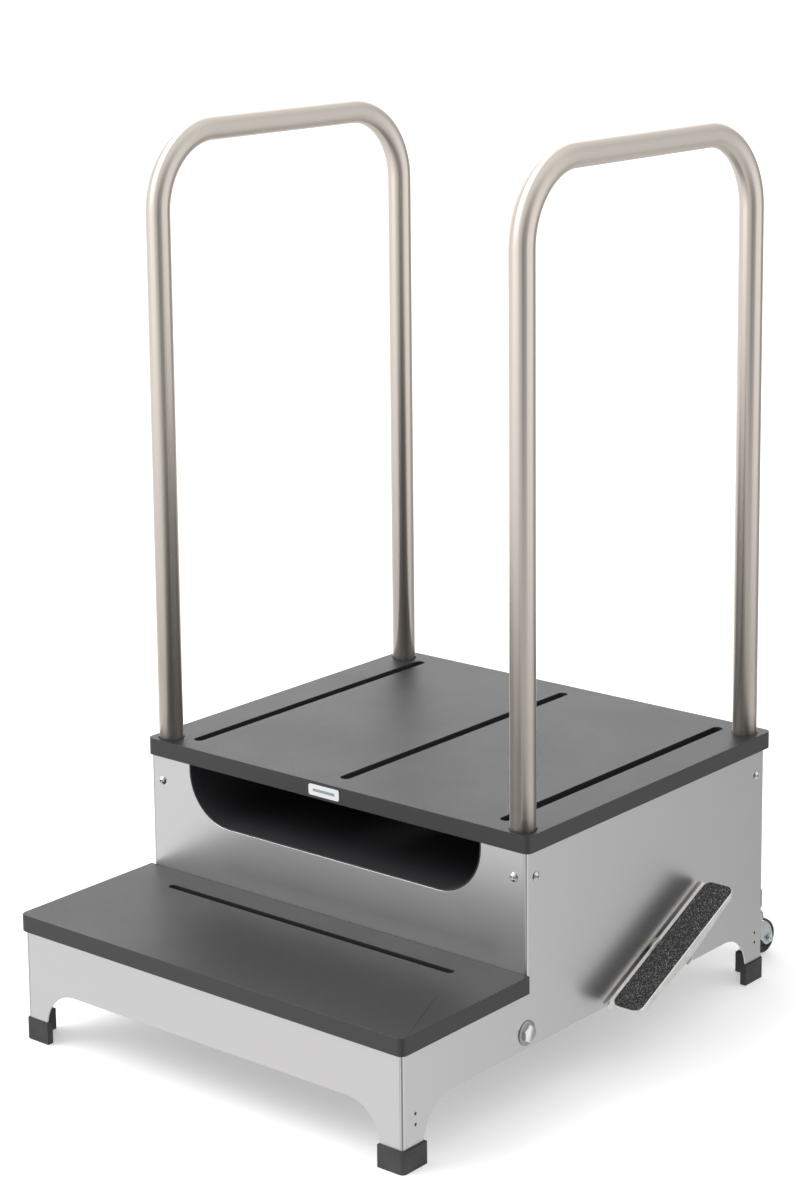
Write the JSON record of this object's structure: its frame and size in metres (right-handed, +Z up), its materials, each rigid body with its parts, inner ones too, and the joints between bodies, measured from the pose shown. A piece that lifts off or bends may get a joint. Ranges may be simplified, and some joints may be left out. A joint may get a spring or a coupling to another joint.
{
  "type": "two-step platform stool",
  "caption": "Two-step platform stool with side handrails, cassette slots and pocket, and a foot pedal that lowers rear casters.",
  "frame": {"origin": "bottom centre of the bounding box, on the floor", "axes": "+X towards the pedal side, -Y towards the lower step, +Z up"},
  "size_m": [0.6744, 0.84, 1.143],
  "materials": {
    "panel_steel": "fine satin grain",
    "rail_steel": "brushed along the tube",
    "tread_plastic": "finely pebbled, satin",
    "liner_black": "satin black",
    "foot_rubber": "moulded, dull",
    "bright_steel": "polished",
    "zinc_plate": "bright zinc",
    "plain_steel": "zinc plated, dull",
    "pedal_metal": "satin",
    "grit_tape": "coarse grit",
    "label_white": "printed",
    "dark_plastic": "moulded",
    "wheel_rubber": "dull",
    "bronze": "turned"
  },
  "bodies": {
    "stool": {"front_panel": "panel_steel", "riser_panel": "panel_steel", "rear_panel": "panel_steel", "side_panel_right": "panel_steel", "side_panel_left": "panel_steel", "upper_tread": "tread_plastic", "lower_tread": "tread_plastic", "label_plate": "label_white", "tread_angle_right": "plain_steel", "tread_angle_left": "plain_steel", "cassette_tray": "liner_black", "cassette_trough_right": "liner_black", "cassette_trough_left": "liner_black", "lower_cassette_trough": "liner_black", "handrail_right": "rail_steel", "handrail_left": "rail_steel", "front_post_plug_right": "dark_plastic", "front_post_plug_left": "dark_plastic", "rear_post_plug_right": "dark_plastic", "rear_post_plug_left": "dark_plastic", "front_side_screw_right": "bright_steel", "front_side_screw_left": "bright_steel", "front_face_screw_right": "bright_steel", "front_face_screw_left": "bright_steel", "rear_side_screw_right": "bright_steel", "rear_side_screw_left": "bright_steel", "rear_face_screw_right": "bright_steel", "rear_face_screw_left": "bright_steel", "front_foot_cap_right": "foot_rubber", "front_foot_cap_left": "foot_rubber", "rear_foot_cap_right": "foot_rubber", "rear_foot_cap_left": "foot_rubber", "hinge_bolt_right": "bright_steel", "hinge_bolt_left": "bright_steel", "shaft_bush_right": "bronze", "shaft_bush_left": "bronze", "spring_stud_right": "plain_steel", "spring_stud_left": "plain_steel", "return_spring_right": "zinc_plate", "return_spring_left": "zinc_plate"},
    "pedal": {"pedal_shaft": "plain_steel", "pedal_cam_right": "plain_steel", "pedal_cam_left": "plain_steel", "pedal_lever": "pedal_metal", "pedal_plate": "pedal_metal", "pedal_grip": "grit_tape"},
    "carriage": {"carriage_hinge_bar": "plain_steel", "carriage_arm_right": "plain_steel", "carriage_arm_left": "plain_steel", "carriage_cross_tube": "plain_steel", "caster_stem_right": "zinc_plate", "caster_stem_left": "zinc_plate"},
    "swivel_right": {"caster_fork_right": "zinc_plate", "caster_axle_right": "zinc_plate"},
    "swivel_left": {"caster_fork_left": "zinc_plate", "caster_axle_left": "zinc_plate"},
    "wheel_right": {"caster_tyre_right": "wheel_rubber", "caster_hub_right": "dark_plastic"},
    "wheel_left": {"caster_tyre_left": "wheel_rubber", "caster_hub_left": "dark_plastic"}
  },
  "joints": [
    {"name": "pedal_press", "type": "hinge", "parent": "stool", "child": "pedal", "pos_m": [-0.02235, 0.0855, 0.116], "axis": [-1, 0, 0], "range_deg": [0, 50]},
    {"name": "carriage_drop", "type": "hinge", "parent": "stool", "child": "carriage", "pos_m": [-0.02235, -0.184, 0.0935], "axis": [-1, 0, 0], "range_deg": [0, 2], "stiffness_Nm_per_rad": 60, "springref_deg": -14.32, "deforming": ["return_spring_right", "return_spring_left"]},
    {"name": "caster_swivel_right", "type": "hinge", "parent": "carriage", "child": "swivel_right", "pos_m": [0.23965, 0.376, 0.06], "axis": [0, 0, 1], "continuous": true},
    {"name": "caster_swivel_left", "type": "hinge", "parent": "carriage", "child": "swivel_left", "pos_m": [-0.28435, 0.376, 0.06], "axis": [0, 0, 1], "continuous": true},
    {"name": "wheel_spin_right", "type": "hinge", "parent": "swivel_right", "child": "wheel_right", "pos_m": [0.23965, 0.396, 0.026], "axis": [1, 0, 0], "continuous": true},
    {"name": "wheel_spin_left", "type": "hinge", "parent": "swivel_left", "child": "wheel_left", "pos_m": [-0.28435, 0.396, 0.026], "axis": [1, 0, 0], "continuous": true}
  ],
  "couplings": [
    {"joint": "carriage_drop", "follows": "pedal_press", "ratio": 0.04}
  ]
}
